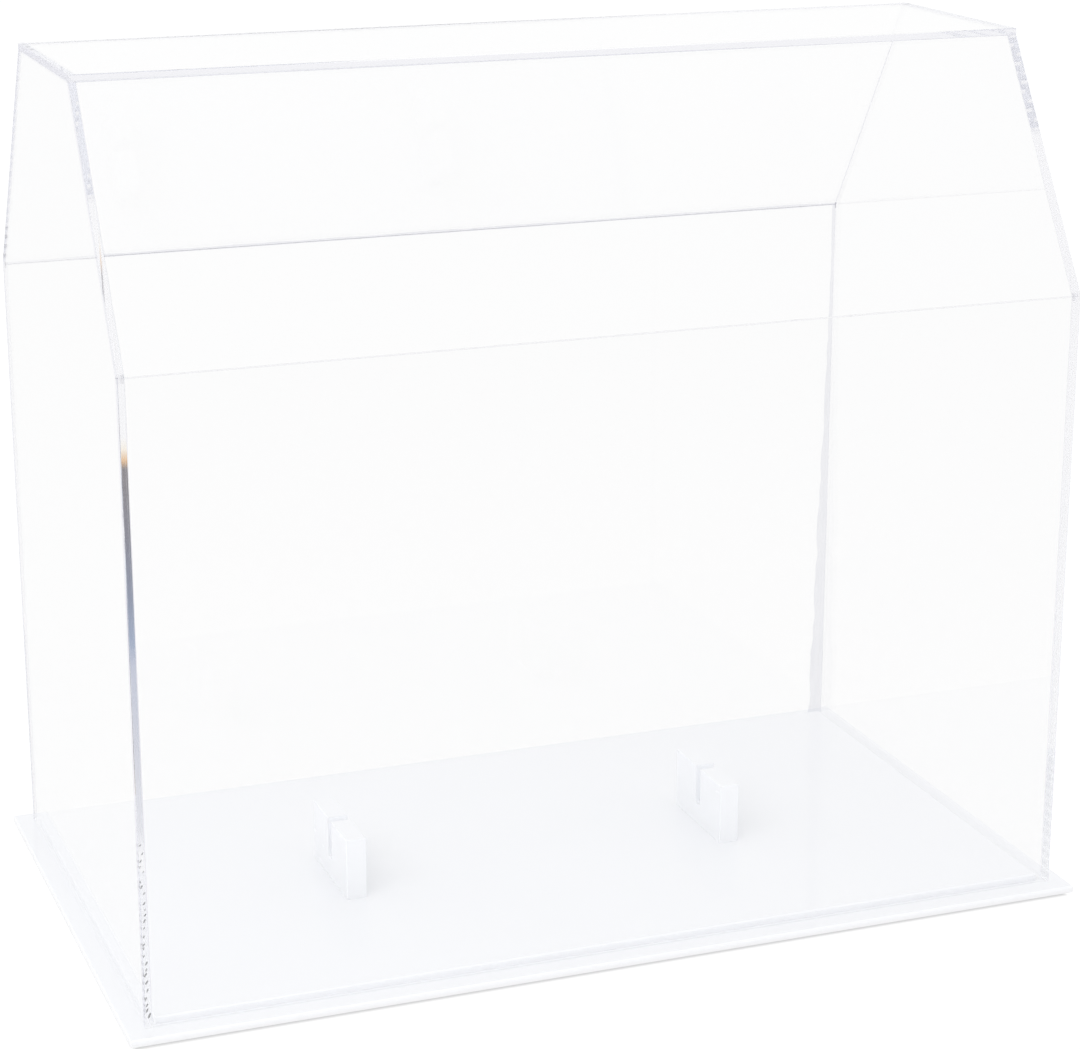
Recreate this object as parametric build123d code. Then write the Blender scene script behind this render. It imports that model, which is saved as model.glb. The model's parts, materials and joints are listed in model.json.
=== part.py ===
from build123d import *

import os
from math import atan2, cos, degrees, tan

# House-shaped acrylic display case with a lift-off cover and two slotted blade supports.
#
# The case is cut from flat acrylic sheet. Seven clear panels are cemented into a cover: four
# walls, two sloping roof panels and a narrow flat top. The cover drops over a raised white plate
# and rests on the wider white plate below it. Two notched blocks stand on the raised plate and
# hold a skate blade upright. Four soft bumpers lift the base off the shelf.
#
# Units are millimetres. +X runs along the case's width, -Y is the front, +Z is up. The origin is
# on the shelf, under the middle of the base.

# Driving dimensions -----------------------------------------------------------------------
SHEET = 3.0  # clear and white sheet alike, nominal 1/8 in

COVER_WIDTH = 406.0
COVER_DEPTH = 228.0
COVER_HEIGHT = 367.0
WALL_HEIGHT = 264.0  # rim to the outer line of the shoulder
TOP_DEPTH = 101.0
RIM_GAP = 0.1  # the rim stands on high spots only
EDGE_BREAK = 0.3  # sharp outside edges are scraped by this much

BASE_OVERHANG = 8.0  # base plate beyond the cover, all round
COVER_PLAY = 1.5  # raised plate to the cover's inside, each side
BASE_EDGE_BREAK = 0.6

SUPPORT_THICKNESS = 9.0
SUPPORT_LENGTH = 50.0
SUPPORT_HEIGHT = 27.5
SUPPORT_SHIFT_Y = -4.0  # the slots sit a little in front of the middle
TOE_SUPPORT_X = -90.0
HEEL_SUPPORT_X = 86.0
SLOT_WIDTH = 5.0
SLOT_DEPTH = 18.0
SLOT_CORNER = 0.8

FOOT_DIAMETER = 12.0
FOOT_HEIGHT = 2.0
FOOT_ROUNDING = 0.8
FOOT_INSET = 20.0  # from the base plate's edges to a bumper's centre

# Worked out from the driving dimensions ---------------------------------------------------
BASE_WIDTH = COVER_WIDTH + 2 * BASE_OVERHANG
BASE_DEPTH = COVER_DEPTH + 2 * BASE_OVERHANG
PLATE_WIDTH = COVER_WIDTH - 2 * (SHEET + COVER_PLAY)
PLATE_DEPTH = COVER_DEPTH - 2 * (SHEET + COVER_PLAY)

BASE_TOP_Z = FOOT_HEIGHT + SHEET
PLATE_TOP_Z = BASE_TOP_Z + SHEET
RIM_Z = BASE_TOP_Z + RIM_GAP
SHOULDER_Z = BASE_TOP_Z + WALL_HEIGHT
COVER_TOP_Z = BASE_TOP_Z + COVER_HEIGHT
TOP_UNDERSIDE_Z = COVER_TOP_Z - SHEET

SLOPE_RUN = (COVER_DEPTH - TOP_DEPTH) / 2
SLOPE_RISE = TOP_UNDERSIDE_Z - SHOULDER_Z
SLOPE_ANGLE = atan2(SLOPE_RUN, SLOPE_RISE)  # from the vertical
MITRE_DROP = SHEET * tan(SLOPE_ANGLE / 2)  # the mitre falls by this much across the sheet
SLOPE_LAND = SHEET / cos(SLOPE_ANGLE)  # the slope panel's flat upper edge

OUT = "parts"


def extruded(points, width):
    """A prism along X, centred on the YZ plane, from an outline of (y, z) points."""
    with BuildPart() as prism:
        with BuildSketch(Plane.YZ):
            with BuildLine():
                Polyline(*points, close=True)
            make_face()
        extrude(amount=width / 2, both=True)
    return prism.part


def eased(chosen, size=EDGE_BREAK):
    """The edges' own solid with a small flat scraped along each of them."""
    return chamfer(chosen, size)


def edges_on(solid, axis, value):
    """The solid's edges that lie wholly in the plane where the coordinate along axis is value."""
    return solid.edges().filter_by_position(axis, value, value)


# Cover ------------------------------------------------------------------------------------
def wall_panel():
    """Front wall: a full-width sheet, square at the rim and mitred at the shoulder."""
    outer_y = -COVER_DEPTH / 2
    inner_y = outer_y + SHEET
    panel = extruded(
        [
            (outer_y, RIM_Z),
            (inner_y, RIM_Z),
            (inner_y, SHOULDER_Z - MITRE_DROP),
            (outer_y, SHOULDER_Z),
        ],
        COVER_WIDTH,
    )
    outside = edges_on(panel, Axis.Y, outer_y)
    return eased(outside - outside.filter_by_position(Axis.Z, SHOULDER_Z, SHOULDER_Z))


def slope_panel():
    """Front roof slope: mitred on the wall below, cut level where the top panel lies on it."""
    panel = extruded(
        [
            (-COVER_DEPTH / 2, SHOULDER_Z),
            (-COVER_DEPTH / 2 + SHEET, SHOULDER_Z - MITRE_DROP),
            (-TOP_DEPTH / 2 + SLOPE_LAND, TOP_UNDERSIDE_Z),
            (-TOP_DEPTH / 2, TOP_UNDERSIDE_Z),
        ],
        COVER_WIDTH,
    )
    outer_face = panel.faces().sort_by(Axis.Y)[0]
    ends = outer_face.edges().filter_by(GeomType.LINE)
    ends = ends - ends.filter_by(Axis.X)
    return eased(ends)


def top_panel():
    """Flat top: a square-edged sheet lying on the slopes and the end panels."""
    panel = Pos(0, 0, TOP_UNDERSIDE_Z + SHEET / 2) * Box(COVER_WIDTH, TOP_DEPTH, SHEET)
    return eased(edges_on(panel, Axis.Z, COVER_TOP_Z))


def end_panel():
    """Right end: a six-sided sheet let in between the walls, the slopes and the top."""
    wall_y = COVER_DEPTH / 2 - SHEET
    top_y = TOP_DEPTH / 2 - SLOPE_LAND
    panel = extruded(
        [
            (-wall_y, RIM_Z),
            (wall_y, RIM_Z),
            (wall_y, SHOULDER_Z - MITRE_DROP),
            (top_y, TOP_UNDERSIDE_Z),
            (-top_y, TOP_UNDERSIDE_Z),
            (-wall_y, SHOULDER_Z - MITRE_DROP),
        ],
        SHEET,
    )
    panel = Pos((COVER_WIDTH - SHEET) / 2, 0, 0) * panel
    rim = edges_on(panel, Axis.Z, RIM_Z)
    return eased(rim.filter_by_position(Axis.X, COVER_WIDTH / 2, COVER_WIDTH / 2))


# Base -------------------------------------------------------------------------------------
def base_plate():
    """The wide lower plate. The cover's rim stands on its margin."""
    plate = Pos(0, 0, BASE_TOP_Z - SHEET / 2) * Box(BASE_WIDTH, BASE_DEPTH, SHEET)
    upper = edges_on(plate, Axis.Z, BASE_TOP_Z)
    upright = plate.edges().filter_by(Axis.Z)
    return eased(upper + upright, BASE_EDGE_BREAK)


def raised_plate():
    """The smaller upper plate, which keeps the cover in place and carries the exhibit."""
    plate = Pos(0, 0, PLATE_TOP_Z - SHEET / 2) * Box(PLATE_WIDTH, PLATE_DEPTH, SHEET)
    upper = edges_on(plate, Axis.Z, PLATE_TOP_Z)
    upright = plate.edges().filter_by(Axis.Z)
    return eased(upper + upright, BASE_EDGE_BREAK)


def blade_support(centre_x):
    """A block on edge across the blade, notched from above for the blade to stand in."""
    top_z = PLATE_TOP_Z + SUPPORT_HEIGHT
    block = Pos(0, 0, PLATE_TOP_Z + SUPPORT_HEIGHT / 2) * Box(
        SUPPORT_THICKNESS, SUPPORT_LENGTH, SUPPORT_HEIGHT
    )
    block = eased(edges_on(block, Axis.Z, top_z) + block.edges().filter_by(Axis.Z))
    notch = Pos(0, 0, top_z) * Box(2 * SUPPORT_THICKNESS, SLOT_WIDTH, 2 * SLOT_DEPTH)
    floor = edges_on(notch, Axis.Z, top_z - SLOT_DEPTH).filter_by(Axis.X)
    notch = fillet(floor, SLOT_CORNER)
    return Pos(centre_x, SUPPORT_SHIFT_Y, 0) * (block - notch)


def foot(side_x, side_y):
    """A soft self-adhesive bumper under one corner of the base plate."""
    disc = Pos(0, 0, FOOT_HEIGHT / 2) * Cylinder(FOOT_DIAMETER / 2, FOOT_HEIGHT)
    disc = fillet(edges_on(disc, Axis.Z, 0), FOOT_ROUNDING)
    return Pos(
        side_x * (BASE_WIDTH / 2 - FOOT_INSET), side_y * (BASE_DEPTH / 2 - FOOT_INSET), 0
    ) * disc


def parts():
    """Every piece of the case by its name."""
    front_wall = wall_panel()
    front_slope = slope_panel()
    right_end = end_panel()
    pieces = {
        "front_panel": front_wall,
        "back_panel": mirror(front_wall, about=Plane.XZ),
        "front_slope_panel": front_slope,
        "back_slope_panel": mirror(front_slope, about=Plane.XZ),
        "top_panel": top_panel(),
        "right_end_panel": right_end,
        "left_end_panel": mirror(right_end, about=Plane.YZ),
        "base_plate": base_plate(),
        "raised_plate": raised_plate(),
        "toe_blade_support": blade_support(TOE_SUPPORT_X),
        "heel_blade_support": blade_support(HEEL_SUPPORT_X),
    }
    for side_x, hand in ((-1, "left"), (1, "right")):
        for side_y, end in ((-1, "front"), (1, "back")):
            pieces[f"{end}_{hand}_foot"] = foot(side_x, side_y)
    return pieces


os.makedirs(OUT, exist_ok=True)
for name, shape in parts().items():
    shape.label = name
    export_step(shape, f"{OUT}/{name}.step")
print(f"slope is {degrees(SLOPE_ANGLE):.1f} degrees from the vertical")
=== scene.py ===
import json
import math
import random

import bmesh
import bpy
from mathutils import Matrix, Vector


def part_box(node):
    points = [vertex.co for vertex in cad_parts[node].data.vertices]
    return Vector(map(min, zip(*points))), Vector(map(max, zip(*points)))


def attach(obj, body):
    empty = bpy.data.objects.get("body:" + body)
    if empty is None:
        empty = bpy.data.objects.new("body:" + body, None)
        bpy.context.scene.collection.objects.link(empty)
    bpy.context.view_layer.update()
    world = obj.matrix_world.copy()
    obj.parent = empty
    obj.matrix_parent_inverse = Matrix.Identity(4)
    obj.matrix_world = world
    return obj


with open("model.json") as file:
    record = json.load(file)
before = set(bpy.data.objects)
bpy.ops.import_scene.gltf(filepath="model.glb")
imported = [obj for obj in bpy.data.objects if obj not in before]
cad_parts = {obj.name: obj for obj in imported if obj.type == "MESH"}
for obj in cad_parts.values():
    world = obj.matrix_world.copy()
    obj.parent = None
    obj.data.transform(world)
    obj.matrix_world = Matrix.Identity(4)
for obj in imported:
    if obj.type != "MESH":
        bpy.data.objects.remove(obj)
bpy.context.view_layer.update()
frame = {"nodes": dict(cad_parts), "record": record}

# Looks of a clear acrylic display case on a stepped white base. All lengths are in metres.

# Places read from the frame -----------------------------------------------------------------
MM = 0.001
WALL_LOW, WALL_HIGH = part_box("front_panel")
TOP_LOW, TOP_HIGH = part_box("top_panel")
PLATE_LOW, PLATE_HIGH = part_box("base_plate")

HALF_WIDTH = WALL_HIGH.x
HALF_DEPTH = -WALL_LOW.y
SHEET = WALL_HIGH.y - WALL_LOW.y
RIM_Z = WALL_LOW.z
SHOULDER_Z = WALL_HIGH.z
HALF_TOP = TOP_HIGH.y
TOP_UNDERSIDE_Z = TOP_LOW.z
COVER_TOP_Z = TOP_HIGH.z
SLOPE_ANGLE = math.atan2(HALF_DEPTH - HALF_TOP, TOP_UNDERSIDE_Z - SHOULDER_Z)

# The corners of the cover's inside, for one quarter of it
INNER_X = HALF_WIDTH - SHEET
INNER_Y = HALF_DEPTH - SHEET
INNER_SHOULDER_Z = SHOULDER_Z - SHEET * math.tan(SLOPE_ANGLE / 2)
INNER_TOP_Y = HALF_TOP - SHEET / math.cos(SLOPE_ANGLE)

SIDES = ((-1, "left"), (1, "right"))
ENDS = ((-1, "front"), (1, "back"))

# Clear acrylic and its joints -----------------------------------------------------------------
ACRYLIC_IOR = 1.491
WAVES_PER_METRE = 9.0
WAVE_HEIGHT = 2 * MM
WAVE_STRENGTH = 0.02  # cast sheet is very slightly wavy
OPEN_AIR = (0.995, 0.995, 0.995, 1.0)  # what light bound for a matt face keeps at a clear face
LOSS_PER_METRE = (0.16, 0.16, 0.10)  # light lost inside the sheet, by colour
CUT_EDGE_TINT = (0.92, 0.92, 0.945, 1.0)  # sawn and scraped edges are a little hazy
CEMENT_THIN = (0.955, 0.955, 0.965, 1.0)
CEMENT_THICK = (0.915, 0.918, 0.935, 1.0)
CEMENT_RIM = (0.78, 0.78, 0.82, 1.0)
CEMENT_CLOUDS = 400.0  # noise cells to a metre, as in all the scales below
CEMENT_RUNS = (1.0, 1.0, 0.15)  # the clouds are drawn out upwards
CEMENT_EDGE_ON = (0.75, 1.0)  # from where the rim's colour begins to where it is full
CEMENT_BLEND = 0.35
AIR_TINT = 0.62
AIR_ROUGHNESS = 0.02
AIR_RIPPLE = 3000.0
JOINT_SKIN = 0.08 * MM  # the cement reaches this close to the outer surface
JOINT_PLAY = 0.1 * MM  # how far past a joint's own height its cloudier look reaches
END_SKIN = 0.2 * MM  # the cloudier look stops this far short of the ends
RIM_PLAY = 0.05 * MM  # a face no higher than this above the rim is the rim itself
JOINT_TINT = (0.992, 0.992, 0.994, 1.0)
MITRE_TINT = (0.965, 0.965, 0.972, 1.0)  # the shoulder joints are a little cloudier
MITRE_LINE = 1.6 * MM  # width of the darker line along the inner border of a shoulder joint
MITRE_LINE_TINT = (0.62, 0.62, 0.65, 1.0)
FRONT_LINE_TINT = (0.90, 0.90, 0.91, 1.0)
MITRE_HEIGHT = 2.5 * MM
FACING = 0.9  # a normal with this much of it along an axis faces that way
DEEPEST_BOUNCE = 90  # after so many bounces inside the sheets a ray is let out
DEEP_BOUNCE = 9  # a ray past this many bounces is seen along an edge, not through a sheet

# White acrylic and bumpers --------------------------------------------------------------------
WHITE_DULL = (0.90, 0.91, 0.93, 1.0)
WHITE_BRIGHT = (0.915, 0.925, 0.945, 1.0)
WHITE_PAINTED_SHADE_BY_SHELF = (0.82, 0.82, 0.83, 1.0)  # painted shade: the base plate's edge is darker towards the shelf
WHITE_CLOUDS = 14.0
SCUFFS = 900.0
SCUFF_LINES = (1.0, 0.08, 1.0)
SCUFF_RANGE = (0.55, 0.8)
SMOOTH_ROUGHNESS = 0.035
SCUFFED_ROUGHNESS = 0.07
SAWN_ROUGHNESS = 0.22  # added on upright faces
SAW_MARKS = 2200.0
SAW_LINES = (1.0, 1.0, 0.02)
SAW_STRENGTH = 0.15
FINE_RELIEF = 0.05 * MM
BUMPER_DULL = (0.74, 0.76, 0.78, 1.0)
BUMPER_BRIGHT = (0.84, 0.86, 0.87, 1.0)
BUMPER_ROUGHNESS = (0.32, 0.5)

# Cement in the inside corners -----------------------------------------------------------------
BEAD_SIZE = 0.8 * MM
SLIM_BEAD_SIZE = 0.3 * MM
RISEN_BEAD_SIZES = (0.35 * MM, 1.5 * MM)  # down the wall and up the slope
BEAD_HOLLOW = 0.45  # 1 would make a bead's face flat, and 0 hollows it most
BEAD_START = 2 * MM  # the corner beads begin this far above the rim
BEAD_RAGGEDNESS = 0.18  # share of the size that comes and goes along a bead
BEAD_GAP = 0.03 * MM  # keeps a bead's faces off the panels' faces
BEAD_STATIONS = 40
BEAD_ARC_STEPS = 4
POOL_WIDTH = 5.0 * MM  # cement run down the back right corner, at its widest
POOL_HEIGHT = 230 * MM  # above the shelf, where the pool has thinned out
POOL_SWELLING = 0.5  # share by which the bead is also wider on the end panel, at most
WALL_REACH = 1.6  # the same bead reaches this much further along the back wall
BUBBLE_COUNT = 26
BUBBLE_START = 2.5 * MM
BUBBLE_SPAN = 76 * MM  # the lower front left joint holds trapped air over this height
BUBBLE_LENGTH = (0.7 * MM, 1.3 * MM)
BUBBLE_WIDTH = 0.38  # share of the length
BUBBLE_DEPTH = 0.3 * MM
BUBBLE_SPREAD = 0.8 * MM  # either way from the joint's middle
BUBBLE_LEAN = (22, 42)  # degrees
BUBBLES_SHRINK = (1.1, 0.5)  # size at the bottom, and how much of it is lost on the way up

# Camera ---------------------------------------------------------------------------------------
CAMERA_PLACE = Vector((-0.4172, -1.1262, 0.5228))
CAMERA_AZIMUTH = math.radians(-20.59)
CAMERA_ELEVATION = math.radians(16.85)
CAMERA_LENS_MM = 95.5
SENSOR_WIDTH_MM = 36.0

# Light ----------------------------------------------------------------------------------------
BACKDROP_LIGHT = 1.0
ROOM = (0.70, 0.70, 0.74, 1.0)  # what stands in front of the case, behind the camera
ROOM_TO_BACKDROP = (-0.5, 0.4)  # backward shares of a direction between which one becomes the other
CEILING_LIGHT = 1.10
SIDES_TO_CEILING = (0.3, 0.8)  # upward shares of a direction
FILL_SIDES = (1.24, 1.24, 1.25, 1.0)  # what the white plates receive from around them
FILL_CEILING = (0.83, 0.83, 0.835, 1.0)
FILL_TO_CEILING = (0.1, 0.8)
FLOOR_HALF = 8.0
FLOOR_NEAR = 0.99
FLOOR_FAR = 1.005
FLOOR_FRONT = 0.93
FRONT_TO_NEAR = (-1.2, -0.3)  # places along Y between which the floor's level changes
NEAR_TO_FAR = (0.4, 2.2)
FLOOR_PAINTED_SHADE_UNDER_BASE = 0.52  # painted shade on the floor in the narrow gap below the base plate
GAP_FADE = (-4 * MM, -1 * MM)  # where the painted shade fades out, beyond the base plate's outline
FLOOR_GLOW = 0.8  # share of the floor's look that doesn't depend on the lamps
PAPER_DULL = 0.93
PAPER_BRIGHT = 0.95
PAPER_GRAIN = 60.0
CUT_OUT_WHITE = 1.06
CUT_OUT_FLOOR = 1.09
# Painted reflections for the left end's edges: dark wedges with orange and blue fringes, put on the
# floor behind the case where only rays that ran along those edges see them. The stops are shares of
# the span on the next line, behind the middle of the case, and the colours there.
PAINTED_REFLECTION_SPAN = 2.0
PAINTED_WALL_EDGE_REFLECTION = (
    (0.075, (1.0, 1.0, 1.0, 1.0)),
    (0.09, (0.78, 0.79, 0.83, 1.0)),
    (0.145, (0.60, 0.62, 0.70, 1.0)),
    (0.20, (0.48, 0.52, 0.64, 1.0)),
    (0.22, (0.22, 0.30, 0.46, 1.0)),
    (0.26, (0.10, 0.14, 0.25, 1.0)),
    (0.32, (0.07, 0.07, 0.12, 1.0)),
    (0.395, (0.10, 0.08, 0.09, 1.0)),
    (0.405, (0.80, 0.45, 0.15, 1.0)),
    (0.42, (1.0, 0.93, 0.80, 1.0)),
    (0.435, (1.0, 1.0, 1.0, 1.0)),
)
PAINTED_SLOPE_EDGE_REFLECTION = (
    (0.040, (1.0, 1.0, 1.0, 1.0)),
    (0.055, (0.85, 0.50, 0.20, 1.0)),
    (0.075, (0.06, 0.05, 0.07, 1.0)),
    (0.150, (0.06, 0.10, 0.30, 1.0)),
    (0.170, (0.75, 0.93, 1.0, 1.0)),
    (0.185, (1.0, 1.0, 1.0, 1.0)),
)
STEEP = 0.42  # downward share of the direction of the rays that left through a slope
NEARLY_AHEAD = 0.3  # sideways share of the direction of the rays that show them
LEFT_OF = -10 * MM  # they land on the floor to the left of this
# Ray Depth in the surround is one more than the faces that a ray met.
DEPTH_THROUGH_BOTH_SIDES = 5.5  # below this, a ray met no more than four faces
DEPTH_TURNED_BACK = 4  # a ray that entered a sheet, was mirrored inside and came out again
SOFTBOX_POWER = 5.0
SOFTBOX_SIZE = (1.4, 1.0)
SOFTBOX_PLACE = Vector((-0.9, -0.8, 1.2))
SOFTBOX_AIM = Vector((0.0, 0.0, 0.1))
MOST_BOUNCES = 100
MOST_CLEAR_BOUNCES = 64
MOST_DIFFUSE_BOUNCES = 8


# Node helpers ---------------------------------------------------------------------------------
class Graph:
    """Adds nodes to one shader tree and joins them."""

    def __init__(self, tree):
        self.tree = tree
        tree.nodes.clear()

    def node(self, kind, inputs=None, **settings):
        """A node with its settings, its inputs fed with values or with other nodes' outputs."""
        made = self.tree.nodes.new(kind)
        for name, value in settings.items():
            setattr(made, name, value)
        for name, value in (inputs or {}).items():
            self.feed(made.inputs[name], value)
        return made

    def feed(self, socket, value):
        """Joins an output to the socket, or sets the socket's own value."""
        if isinstance(value, bpy.types.NodeSocket):
            self.tree.links.new(value, socket)
        else:
            socket.default_value = value

    def maths(self, operation, first, second=0.0, third=0.0, clamp=False):
        """The output of one Math node."""
        made = self.node("ShaderNodeMath", {0: first, 1: second, 2: third}, operation=operation)
        made.use_clamp = clamp
        return made.outputs[0]

    def mix(self, share, first, second):
        """A mix of two shaders."""
        return self.node("ShaderNodeMixShader", {0: share, 1: first, 2: second}).outputs[0]

    def blend(self, share, first, second):
        """A mix of two colours."""
        made = self.node("ShaderNodeMix", data_type="RGBA")
        self.feed(made.inputs[0], share)
        self.feed(made.inputs[6], first)
        self.feed(made.inputs[7], second)
        return made.outputs[2]

    def ramp(self, value, low, high, to_low=0.0, to_high=1.0):
        """The value carried from one range to another, held at both ends."""
        ends = {"From Min": low, "From Max": high, "To Min": to_low, "To Max": to_high}
        return self.node("ShaderNodeMapRange", {"Value": value, **ends}).outputs[0]

    def stops(self, value, colours):
        """A colour for each value from 0 to 1, blended between the given (value, colour) stops."""
        made = self.node("ShaderNodeValToRGB", {0: value})
        line = made.color_ramp.elements
        for spot, colour in colours:
            line.new(spot).color = colour
        line.remove(line[0])
        line.remove(line[-1])
        return made.outputs[0]

    def noise(self, scale, detail=2.0, vector=None):
        """Smooth noise from 0 to 1 in the piece's own coordinates."""
        made = self.node("ShaderNodeTexNoise", {"Scale": scale, "Detail": detail})
        self.feed(made.inputs["Vector"], vector or self.place())
        return made.outputs["Fac"]

    def place(self):
        """The shaded point in the piece's own coordinates, in metres."""
        return self.node("ShaderNodeTexCoord").outputs["Object"]

    def stretched(self, x, y, z):
        """The piece's coordinates scaled along each axis."""
        made = self.node("ShaderNodeMapping", {"Vector": self.place(), "Scale": (x, y, z)})
        return made.outputs[0]

    def axes(self, vector):
        """A vector's x, y and z."""
        return self.node("ShaderNodeSeparateXYZ", {0: vector}).outputs

    def bump(self, height, strength, distance):
        """A normal roughened by a height."""
        relief = {"Height": height, "Strength": strength, "Distance": distance}
        return self.node("ShaderNodeBump", relief).outputs[0]

    def path(self):
        """What is known of the ray that meets the surface."""
        return self.node("ShaderNodeLightPath").outputs

    def geometry(self):
        """What is known of the point that the ray meets."""
        return self.node("ShaderNodeNewGeometry").outputs

    def transparent(self, colour):
        """A shader that lets rays pass unbent."""
        return self.node("ShaderNodeBsdfTransparent", {0: colour}).outputs[0]

    def letting_lamps_in(self, surface, also=0.0):
        """The surface, but open to light bound for a matt face, and to rays for which also is 1."""
        path = self.path()
        lit_through = self.maths("MAXIMUM", path["Is Shadow Ray"], path["Is Diffuse Ray"])
        passed = self.maths("MAXIMUM", lit_through, also)
        return self.mix(passed, surface, self.transparent(OPEN_AIR))

    def finish(self, surface):
        """Shows the surface."""
        self.node("ShaderNodeOutputMaterial", {"Surface": surface})


def grey(level):
    """An even colour of this level."""
    return (level, level, level, 1.0)


def new_material(name):
    """An empty node material and its graph."""
    material = bpy.data.materials.new(name)
    material.use_nodes = True
    return material, Graph(material.node_tree)


# Materials ------------------------------------------------------------------------------------
def depth_under_skin(graph):
    """How far a point of the cover lies under its two ends, and under all its other faces."""
    x, y, z = graph.axes(graph.place())
    to_end = graph.maths("SUBTRACT", HALF_WIDTH, graph.maths("ABSOLUTE", x))
    to_wall = graph.maths("SUBTRACT", HALF_DEPTH, graph.maths("ABSOLUTE", y))
    to_top = graph.maths("SUBTRACT", COVER_TOP_Z, z)
    to_shoulder = graph.maths("SUBTRACT", SHOULDER_Z, z)
    along_wall = graph.maths("MULTIPLY", to_wall, math.cos(SLOPE_ANGLE))
    along_rise = graph.maths("MULTIPLY", to_shoulder, math.sin(SLOPE_ANGLE))
    to_slope = graph.maths("ADD", along_wall, along_rise)
    to_roof = graph.maths("MINIMUM", to_slope, to_top)
    return to_end, graph.maths("MINIMUM", to_wall, to_roof)


def cemented(graph, depth):
    """1 on the faces cemented together and on the sawn rim while it rests on the base, else 0."""
    under_skin = graph.maths("GREATER_THAN", depth, JOINT_SKIN)
    not_inner = graph.maths("LESS_THAN", depth, SHEET - JOINT_SKIN / 4)
    hidden = graph.maths("MULTIPLY", under_skin, not_inner)
    own_height = graph.axes(graph.place())[2]
    height = graph.axes(graph.geometry()["Position"])[2]
    lifted = graph.maths("GREATER_THAN", graph.maths("SUBTRACT", height, own_height), MM)
    on_rim = graph.maths("LESS_THAN", own_height, RIM_Z + RIM_PLAY)
    open_rim = graph.maths("MULTIPLY", lifted, on_rim)
    return graph.maths("SUBTRACT", hidden, open_rim, clamp=True)


def cement_colour(graph, depth):
    """What a joint lets through. The shoulder joints are cloudier, with a dark inner border."""
    x, y, z = graph.axes(graph.place())
    to_inside = graph.maths("SUBTRACT", SHEET, depth)
    line = graph.ramp(to_inside, 0.5 * MITRE_LINE, MITRE_LINE, 1.0, 0.0)
    shallow = graph.maths("LESS_THAN", graph.path()["Ray Depth"], DEEP_BOUNCE)
    at_back = graph.maths("GREATER_THAN", y, 0.0)
    line_tint = graph.blend(at_back, FRONT_LINE_TINT, MITRE_LINE_TINT)
    mitre = graph.blend(graph.maths("MULTIPLY", line, shallow), MITRE_TINT, line_tint)
    half_mitre = MITRE_HEIGHT / 2
    high = graph.maths("COMPARE", z, SHOULDER_Z - half_mitre, half_mitre + JOINT_PLAY)
    between_ends = graph.maths("LESS_THAN", graph.maths("ABSOLUTE", x), HALF_WIDTH - END_SKIN)
    return graph.blend(graph.maths("MULTIPLY", high, between_ends), JOINT_TINT, mitre)


def on_cut_edge(graph, to_side):
    """1 on the sawn ends of the full-width panels and the long edges of the top, 0 elsewhere."""
    normal = graph.axes(graph.geometry()["True Normal"])
    faces_end = graph.maths("GREATER_THAN", graph.maths("ABSOLUTE", normal[0]), FACING)
    faces_front = graph.maths("GREATER_THAN", graph.maths("ABSOLUTE", normal[1]), FACING)
    height = graph.axes(graph.place())[2]
    on_top_panel = graph.maths("GREATER_THAN", height, TOP_UNDERSIDE_Z)
    near_side = graph.maths("LESS_THAN", to_side, SHEET)
    panel_end = graph.maths("MULTIPLY", faces_end, near_side)
    top_edge = graph.maths("MULTIPLY", faces_front, on_top_panel)
    return graph.maths("MAXIMUM", panel_end, top_edge)


def light_kept(graph, to_side):
    """The colour that a ray keeps at a face: haze at a cut edge, loss along a stretch inside."""
    inside = graph.geometry()["Backfacing"]
    travelled = graph.maths("MULTIPLY", inside, graph.path()["Ray Length"])
    kept = [
        graph.maths("EXPONENT", graph.maths("MULTIPLY", travelled, -loss))
        for loss in LOSS_PER_METRE
    ]
    joined = graph.node("ShaderNodeCombineColor", {0: kept[0], 1: kept[1], 2: kept[2]})
    entering = graph.maths("SUBTRACT", on_cut_edge(graph, to_side), inside, clamp=True)
    return graph.blend(entering, joined.outputs[0], CUT_EDGE_TINT)


def clear_acrylic():
    """Polished clear sheet: refracts, pipes light along its edges and passes its joints."""
    material, graph = new_material("clear_acrylic")
    to_end, to_side = depth_under_skin(graph)
    depth = graph.maths("MINIMUM", to_end, to_side)
    waves = graph.bump(graph.noise(WAVES_PER_METRE, 1.0), WAVE_STRENGTH, WAVE_HEIGHT)
    sheet = {"Color": light_kept(graph, to_side), "Roughness": 0.0, "IOR": ACRYLIC_IOR}
    glass = graph.node("ShaderNodeBsdfGlass", {**sheet, "Normal": waves}).outputs[0]
    joint = graph.transparent(cement_colour(graph, depth))
    tired = graph.maths("GREATER_THAN", graph.path()["Ray Depth"], DEEPEST_BOUNCE)
    seen = graph.mix(cemented(graph, depth), glass, joint)
    graph.finish(graph.letting_lamps_in(seen, tired))
    return material


def cement():
    """Set cement: nearly clear, a little grey, and darker where it is seen edge-on."""
    material, graph = new_material("cement")
    facing = graph.node("ShaderNodeLayerWeight", {"Blend": CEMENT_BLEND}).outputs["Facing"]
    clouds = graph.noise(CEMENT_CLOUDS, 2.0, graph.stretched(*CEMENT_RUNS))
    body = graph.blend(clouds, CEMENT_THIN, CEMENT_THICK)
    tint = graph.blend(graph.ramp(facing, *CEMENT_EDGE_ON), body, CEMENT_RIM)
    graph.finish(graph.letting_lamps_in(graph.transparent(tint)))
    return material


def trapped_air():
    """The wall of an air bubble in the cement, seen from the acrylic's side."""
    material, graph = new_material("trapped_air")
    ripple = graph.bump(graph.noise(AIR_RIPPLE), 0.2, FINE_RELIEF)
    wall = {"Color": grey(AIR_TINT), "Roughness": AIR_ROUGHNESS, "IOR": 1 / ACRYLIC_IOR}
    glass = graph.node("ShaderNodeBsdfGlass", {**wall, "Normal": ripple})
    graph.finish(glass.outputs[0])
    return material


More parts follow.
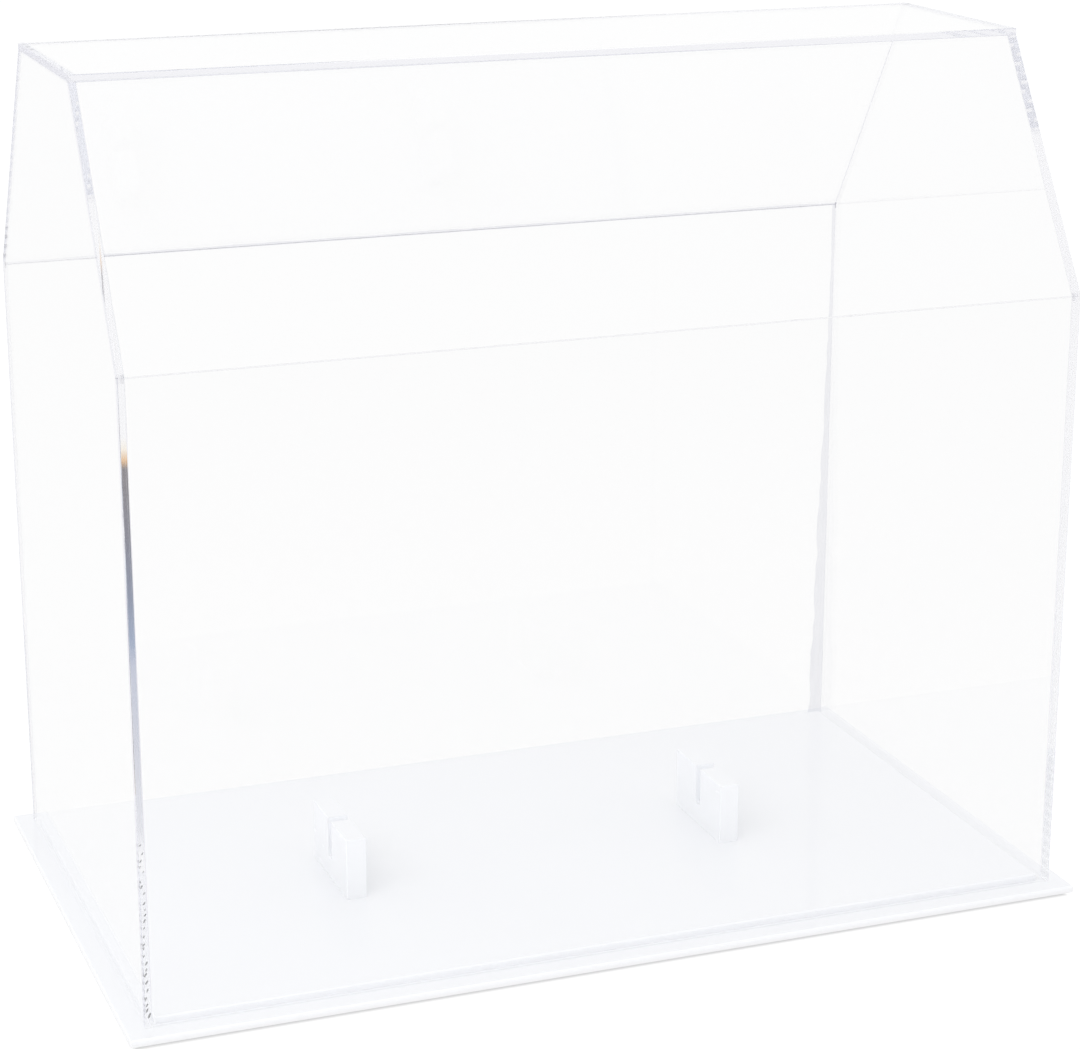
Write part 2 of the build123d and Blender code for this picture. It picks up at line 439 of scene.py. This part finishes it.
def white_acrylic():
    """Polished opaque white sheet with sawn edges, faint scuffs, a cool cast and painted shade low
    on the base plate's edge.
    """
    material, graph = new_material("white_acrylic")
    normal = graph.axes(graph.geometry()["True Normal"])
    upright = graph.maths("LESS_THAN", graph.maths("ABSOLUTE", normal[2]), 0.5)
    colour = graph.blend(graph.noise(WHITE_CLOUDS, 3.0), WHITE_DULL, WHITE_BRIGHT)
    height = graph.axes(graph.place())[2]
    # painted shade: 0 at the base plate's bottom, by the shelf, and 1 at its top
    above_painted_shade = graph.ramp(height, PLATE_LOW.z, PLATE_HIGH.z)
    scuffs = graph.ramp(graph.noise(SCUFFS, 4.0, graph.stretched(*SCUFF_LINES)), *SCUFF_RANGE)
    polish = graph.ramp(scuffs, 0.0, 1.0, SMOOTH_ROUGHNESS, SCUFFED_ROUGHNESS)
    sawn = graph.maths("MULTIPLY", upright, SAWN_ROUGHNESS)
    cut_marks = graph.noise(SAW_MARKS, 1.0, graph.stretched(*SAW_LINES))
    relief = graph.maths("MULTIPLY", cut_marks, upright)
    surface = graph.node(
        "ShaderNodeBsdfPrincipled",
        {
            "Base Color": graph.blend(above_painted_shade, WHITE_PAINTED_SHADE_BY_SHELF, colour),
            "Roughness": graph.maths("ADD", polish, sawn),
            "IOR": ACRYLIC_IOR,
            "Normal": graph.bump(relief, SAW_STRENGTH, FINE_RELIEF),
        },
    )
    graph.finish(surface.outputs[0])
    return material


def soft_bumper():
    """Milky soft polyurethane."""
    material, graph = new_material("soft_bumper")
    surface = graph.node(
        "ShaderNodeBsdfPrincipled",
        {
            "Base Color": graph.blend(graph.noise(300.0), BUMPER_DULL, BUMPER_BRIGHT),
            "Roughness": graph.ramp(graph.noise(700.0), 0.3, 0.7, *BUMPER_ROUGHNESS),
            "IOR": 1.5,
            "Transmission Weight": 0.25,
            "Subsurface Weight": 0.3,
            "Subsurface Scale": 2 * MM,
        },
    )
    graph.finish(surface.outputs[0])
    return material


def dress_cad_nodes():
    """Gives every CAD node its material, by its slot in the record."""
    made = {
        "clear_acrylic": clear_acrylic(),
        "white_acrylic": white_acrylic(),
        "soft_bumper": soft_bumper(),
    }
    for part in frame["record"]["subparts"]:
        node = frame["nodes"][part["node"]]
        for slot in node.material_slots:
            slot.material = made[part["material_slot"]]


# Cement ---------------------------------------------------------------------------------------
def bead(name, start, end, arm_a, arm_b, sizes, chance, material):
    """A hollow-faced strip of cement in an inside corner.

    start and end are the corner's ends and arm_a and arm_b the directions in which its two faces
    leave it. sizes gives the reach along both arms for a share of the way along the corner.
    """
    form = bmesh.new()
    inset = BEAD_GAP * (arm_a + arm_b)
    rings = []
    for station in range(BEAD_STATIONS + 1):
        share = station / BEAD_STATIONS
        ragged = 1 + BEAD_RAGGEDNESS * chance.uniform(-1, 1)
        reach_a, reach_b = sizes(share)
        tip_a = arm_a * reach_a * ragged
        tip_b = arm_b * reach_b * ragged
        corner = start.lerp(end, share) + inset
        ring = [form.verts.new(corner)]
        for step in range(BEAD_ARC_STEPS + 1):
            turn = step / BEAD_ARC_STEPS
            rest = 1 - turn
            tips = tip_a * rest ** 2 + tip_b * turn ** 2
            hollow = tips + BEAD_HOLLOW * (tip_a + tip_b) * turn * rest
            ring.append(form.verts.new(corner + hollow))
        rings.append(ring)
    for lower, upper in zip(rings, rings[1:]):
        for index in range(len(lower)):
            after = (index + 1) % len(lower)
            form.faces.new((lower[index], lower[after], upper[after], upper[index]))
    form.faces.new(rings[0])
    form.faces.new(rings[-1])
    bmesh.ops.recalc_face_normals(form, faces=form.faces)
    finish_piece(name, form, material)


def finish_piece(name, form, material):
    """Makes an object of a form, which goes with the cover."""
    mesh = bpy.data.meshes.new(name)
    form.to_mesh(mesh)
    form.free()
    mesh.materials.append(material)
    piece = bpy.data.objects.new(name, mesh)
    bpy.context.scene.collection.objects.link(piece)
    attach(piece, "cover")


def even_bead(_):
    """The same reach all along."""
    return BEAD_SIZE, BEAD_SIZE


def risen_bead(_):
    """Cement that was drawn up the slope from a shoulder."""
    return RISEN_BEAD_SIZES


def slim_bead(_):
    """A joint wiped clean, with hardly any cement left in the corner."""
    return SLIM_BEAD_SIZE, SLIM_BEAD_SIZE


def run_down(share):
    """Cement that has run down the corner and pooled along the back wall."""
    height = RIM_Z + share * (INNER_SHOULDER_Z - RIM_Z)
    pooled = max(0.0, 1 - height / POOL_HEIGHT)
    on_end = BEAD_SIZE * (1 + pooled * POOL_SWELLING)
    on_wall = BEAD_SIZE * WALL_REACH + POOL_WIDTH * pooled
    return on_end, on_wall


def top_corner(side_x, side_y):
    """The inside corner between an end, a slope and the top."""
    return Vector((side_x * INNER_X, side_y * INNER_TOP_Y, TOP_UNDERSIDE_Z))


def shoulder_corner(side_x, side_y):
    """The inside corner between an end, a wall and a slope."""
    return Vector((side_x * INNER_X, side_y * INNER_Y, INNER_SHOULDER_Z))


def corner_sizes(side_x, side_y):
    """The reach of an upright corner's bead: slim in front, fuller at the back."""
    if side_y < 0:
        return slim_bead
    return run_down if side_x > 0 else even_bead


def make_beads(material):
    """The cement in the inside corners of the cover. The front shoulder is wiped clean of it."""
    chance = random.Random(11)
    made = {"chance": chance, "material": material}
    down = Vector((0, 0, -1))
    sloping = Vector((0, math.cos(SLOPE_ANGLE), math.sin(SLOPE_ANGLE)))
    rising = Vector((0, -math.sin(SLOPE_ANGLE), math.cos(SLOPE_ANGLE)))
    for side_x, hand in SIDES:
        in_x = Vector((-side_x, 0, 0))
        for side_y, end in ENDS:
            in_y = Vector((0, -side_y, 0))
            into = -sloping * Vector((1, side_y, 1))
            rim = Vector((side_x * INNER_X, side_y * INNER_Y, RIM_Z + BEAD_START))
            shoulder = shoulder_corner(side_x, side_y)
            ridge = top_corner(side_x, side_y)
            sizes = corner_sizes(side_x, side_y)
            bead(f"{end}_{hand}_corner_cement", rim, shoulder, in_y, in_x, sizes, **made)
            bead(f"{end}_{hand}_slope_cement", shoulder, ridge, into, in_x, slim_bead, **made)
        front, back = top_corner(side_x, -1), top_corner(side_x, 1)
        bead(f"{hand}_top_cement", front, back, in_x, down, even_bead, **made)
    left, right = shoulder_corner(-1, 1), shoulder_corner(1, 1)
    bead("back_shoulder_cement", left, right, down, rising, risen_bead, **made)
    for side_y, end in ENDS:
        in_y = Vector((0, -side_y, 0))
        fall = -rising * Vector((1, side_y, 1))
        left, right = top_corner(-1, side_y), top_corner(1, side_y)
        bead(f"{end}_ridge_cement", left, right, in_y, fall, slim_bead, **made)


def make_trapped_air(material):
    """Flattened slanting bubbles in the cement of the lower front left joint."""
    chance = random.Random(23)
    joint_x = -HALF_WIDTH + SHEET / 2
    at_bottom, lost = BUBBLES_SHRINK
    form = bmesh.new()
    for count in range(BUBBLE_COUNT):
        share = (count + chance.uniform(0.2, 0.8)) / BUBBLE_COUNT
        height = RIM_Z + BUBBLE_START + share * BUBBLE_SPAN
        sideways = chance.uniform(-1, 1) * BUBBLE_SPREAD
        place = Vector((joint_x + sideways, -INNER_Y, height))
        length = chance.uniform(*BUBBLE_LENGTH) * (at_bottom - lost * share)
        size = (length * BUBBLE_WIDTH, BUBBLE_DEPTH, length)
        lean = math.radians(chance.uniform(*BUBBLE_LEAN))
        turn = Matrix.Rotation(lean, 4, "Y")
        shape = Matrix.Translation(place) @ turn @ Matrix.Diagonal((*size, 1.0))
        bmesh.ops.create_icosphere(form, subdivisions=2, radius=1.0, matrix=shape)
    for face in form.faces:
        face.smooth = True
    finish_piece("front_left_joint_bubbles", form, material)


# Stage ----------------------------------------------------------------------------------------
def painted_edge_reflections(graph, across, along):
    """Painted reflections on the floor for the left end's edges, and 1 for the rays that see them
    there.
    """
    came_from = graph.axes(graph.geometry()["Incoming"])
    steep = graph.maths("GREATER_THAN", came_from[2], STEEP)
    distance = graph.maths("DIVIDE", along, PAINTED_REFLECTION_SPAN)
    by_wall = graph.stops(distance, PAINTED_WALL_EDGE_REFLECTION)
    by_slope = graph.stops(distance, PAINTED_SLOPE_EDGE_REFLECTION)
    deep = graph.maths("GREATER_THAN", graph.path()["Ray Depth"], DEEP_BOUNCE)
    on_left = graph.maths("LESS_THAN", across, LEFT_OF)
    ahead = graph.maths("LESS_THAN", graph.maths("ABSOLUTE", came_from[0]), NEARLY_AHEAD)
    shows_painted_reflection = graph.maths("MULTIPLY", graph.maths("MULTIPLY", deep, on_left), ahead)
    return graph.blend(steep, by_wall, by_slope), shows_painted_reflection


def paper():
    """White paper that glows, a little less towards the front. Rays that ran along the left end's
    edges find painted reflections on it. Where the camera sees it, it is cut out to pure white,
    with painted shade under the base plate.
    """
    material, graph = new_material("paper")
    path = graph.path()
    across, along, _ = graph.axes(graph.place())
    front = graph.ramp(along, *FRONT_TO_NEAR, FLOOR_FRONT, FLOOR_NEAR)
    back = graph.ramp(along, *NEAR_TO_FAR, 0.0, FLOOR_FAR - FLOOR_NEAR)
    painted_reflection, shows_painted_reflection = painted_edge_reflections(graph, across, along)
    seen = graph.blend(shows_painted_reflection, graph.maths("ADD", front, back), painted_reflection)
    lit = graph.blend(path["Is Diffuse Ray"], seen, grey(1.0))
    # Painted shade: where the camera sees the floor under the base plate it is darker, fading out
    # just past the plate's outline.
    past_end = graph.maths("SUBTRACT", graph.maths("ABSOLUTE", across), PLATE_HIGH.x)
    past_front = graph.maths("SUBTRACT", graph.maths("ABSOLUTE", along), PLATE_HIGH.y)
    outside = graph.maths("MAXIMUM", past_end, past_front)
    shown = graph.ramp(outside, *GAP_FADE, FLOOR_PAINTED_SHADE_UNDER_BASE, CUT_OUT_FLOOR)
    level = graph.blend(path["Is Camera Ray"], lit, shown)
    glow = graph.node("ShaderNodeEmission", {"Color": level, "Strength": 1.0}).outputs[0]
    grain = graph.blend(graph.noise(PAPER_GRAIN), grey(PAPER_DULL), grey(PAPER_BRIGHT))
    matt = graph.node("ShaderNodeBsdfDiffuse", {"Color": grain}).outputs[0]
    graph.finish(graph.mix(FLOOR_GLOW, matt, glow))
    return material


def make_floor():
    """A wide pale floor."""
    mesh = bpy.data.meshes.new("floor")
    near, far = -FLOOR_HALF, FLOOR_HALF
    corners = [(near, near, 0), (far, near, 0), (far, far, 0), (near, far, 0)]
    mesh.from_pydata(corners, [], [(0, 1, 2, 3)])
    mesh.materials.append(paper())
    floor = bpy.data.objects.new("floor", mesh)
    bpy.context.scene.collection.objects.link(floor)


def make_world():
    """An even white surround: a light ceiling, a pale backdrop and a dimmer room in front.

    A ray that goes straight through the case sees the backdrop's white all round, as the eye does.
    """
    world = bpy.data.worlds.new("studio")
    bpy.context.scene.world = world
    world.use_nodes = True
    graph = Graph(world.node_tree)
    direction = graph.node("ShaderNodeTexCoord").outputs["Generated"]
    _, along, up = graph.axes(direction)
    path = graph.path()
    few = graph.maths("LESS_THAN", path["Ray Depth"], DEPTH_THROUGH_BOTH_SIDES)
    turned_back = graph.maths("COMPARE", path["Ray Depth"], DEPTH_TURNED_BACK)
    crossed = graph.maths("MULTIPLY", path["Is Transmission Ray"], few)
    straight = graph.maths("MULTIPLY", crossed, graph.maths("SUBTRACT", 1.0, turned_back))
    behind = graph.maths("MAXIMUM", graph.ramp(along, *ROOM_TO_BACKDROP), straight)
    sides = graph.blend(behind, ROOM, grey(BACKDROP_LIGHT))
    reflected = graph.blend(graph.ramp(up, *SIDES_TO_CEILING), sides, grey(CEILING_LIGHT))
    fill = graph.blend(graph.ramp(up, *FILL_TO_CEILING), FILL_SIDES, FILL_CEILING)
    received = graph.blend(path["Is Diffuse Ray"], reflected, fill)
    shown = graph.blend(path["Is Camera Ray"], received, grey(CUT_OUT_WHITE))
    surface = graph.node("ShaderNodeBackground", {"Color": shown, "Strength": 1.0}).outputs[0]
    graph.node("ShaderNodeOutputWorld", {"Surface": surface})


def make_softbox():
    """One large soft light above the front left."""
    light = bpy.data.lights.new("softbox", "AREA")
    light.shape = "RECTANGLE"
    light.size, light.size_y = SOFTBOX_SIZE
    light.energy = SOFTBOX_POWER
    softbox = bpy.data.objects.new("softbox", light)
    softbox.location = SOFTBOX_PLACE
    aim = SOFTBOX_AIM - SOFTBOX_PLACE
    softbox.rotation_euler = aim.to_track_quat("-Z", "Y").to_euler()
    softbox.visible_glossy = False
    softbox.visible_transmission = False
    bpy.context.scene.collection.objects.link(softbox)


def make_camera():
    """The camera, upright, in front of the case's left end and looking down on it."""
    camera = bpy.data.cameras.new("camera")
    camera.lens = CAMERA_LENS_MM
    camera.sensor_width = SENSOR_WIDTH_MM
    camera.clip_start = 0.01
    camera.clip_end = 100.0
    holder = bpy.data.objects.new("camera", camera)
    forward = Vector(
        (
            -math.sin(CAMERA_AZIMUTH) * math.cos(CAMERA_ELEVATION),
            math.cos(CAMERA_AZIMUTH) * math.cos(CAMERA_ELEVATION),
            -math.sin(CAMERA_ELEVATION),
        )
    )
    holder.location = CAMERA_PLACE
    holder.rotation_euler = forward.to_track_quat("-Z", "Y").to_euler()
    bpy.context.scene.collection.objects.link(holder)
    bpy.context.scene.camera = holder


def set_light_paths():
    """Enough bounces for light to run along the sheets."""
    cycles = bpy.context.scene.cycles
    cycles.max_bounces = MOST_BOUNCES
    cycles.glossy_bounces = MOST_BOUNCES
    cycles.transmission_bounces = MOST_BOUNCES
    cycles.transparent_max_bounces = MOST_CLEAR_BOUNCES
    cycles.diffuse_bounces = MOST_DIFFUSE_BOUNCES
    cycles.caustics_reflective = True
    cycles.caustics_refractive = True
    bpy.context.scene.view_settings.view_transform = "Standard"


dress_cad_nodes()
make_beads(cement())
make_trapped_air(trapped_air())
make_floor()
make_world()
make_softbox()
make_camera()
set_light_paths()
